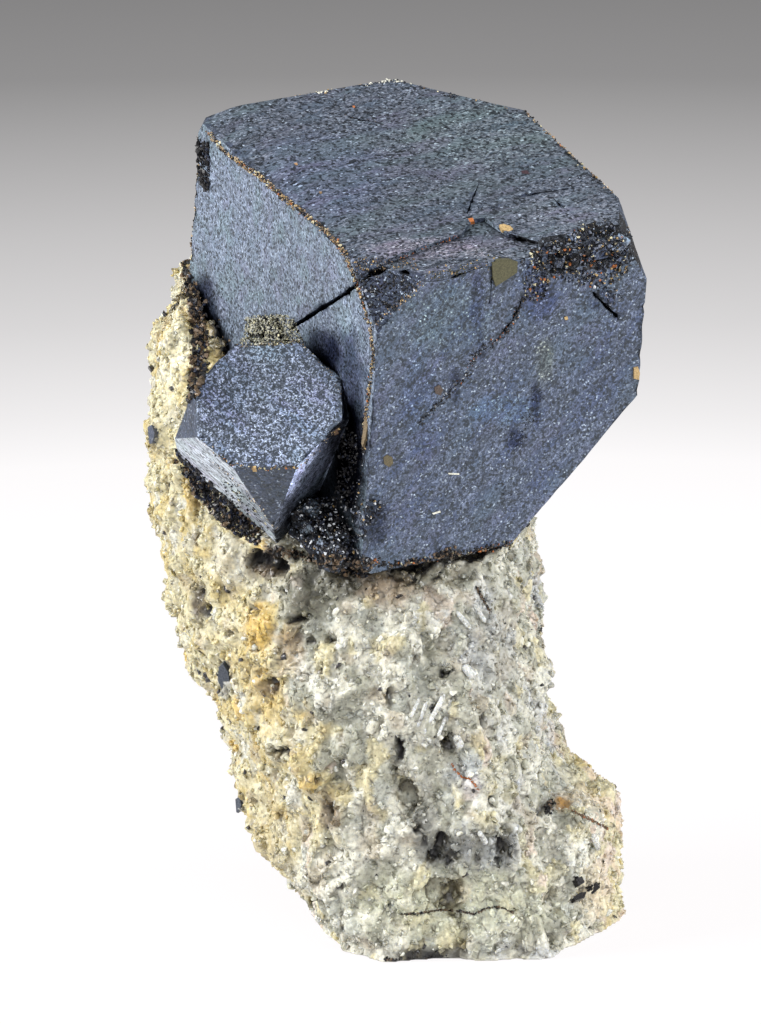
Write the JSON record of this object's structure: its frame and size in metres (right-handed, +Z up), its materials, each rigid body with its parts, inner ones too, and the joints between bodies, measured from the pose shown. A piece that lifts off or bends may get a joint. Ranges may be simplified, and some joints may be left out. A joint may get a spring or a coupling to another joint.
{
  "type": "mineral specimen, cafarsite in matrix",
  "caption": "Blue-black blocky cafarsite crystals with cut corners, grown together on top of a leaning column of pale sugary gneiss with a flat foot.",
  "frame": {"origin": "on the flat cut under the foot of the rock, below the middle of its front", "axes": "+Z up along the column, +X to the right and +Y away as seen from the front, where the small crystal is on the left"},
  "size_m": [0.0378, 0.0426, 0.062],
  "materials": {
    "gneiss": "sugary white, grey and honey-yellow quartz and feldspar grains with dark pits",
    "cafarsite": "satin blue-black crystal faces with olive and rusty flecks and black druse"
  },
  "bodies": {
    "root": {"gneiss_matrix": "gneiss", "cafarsite_crystals": "cafarsite"}
  },
  "joints": []
}
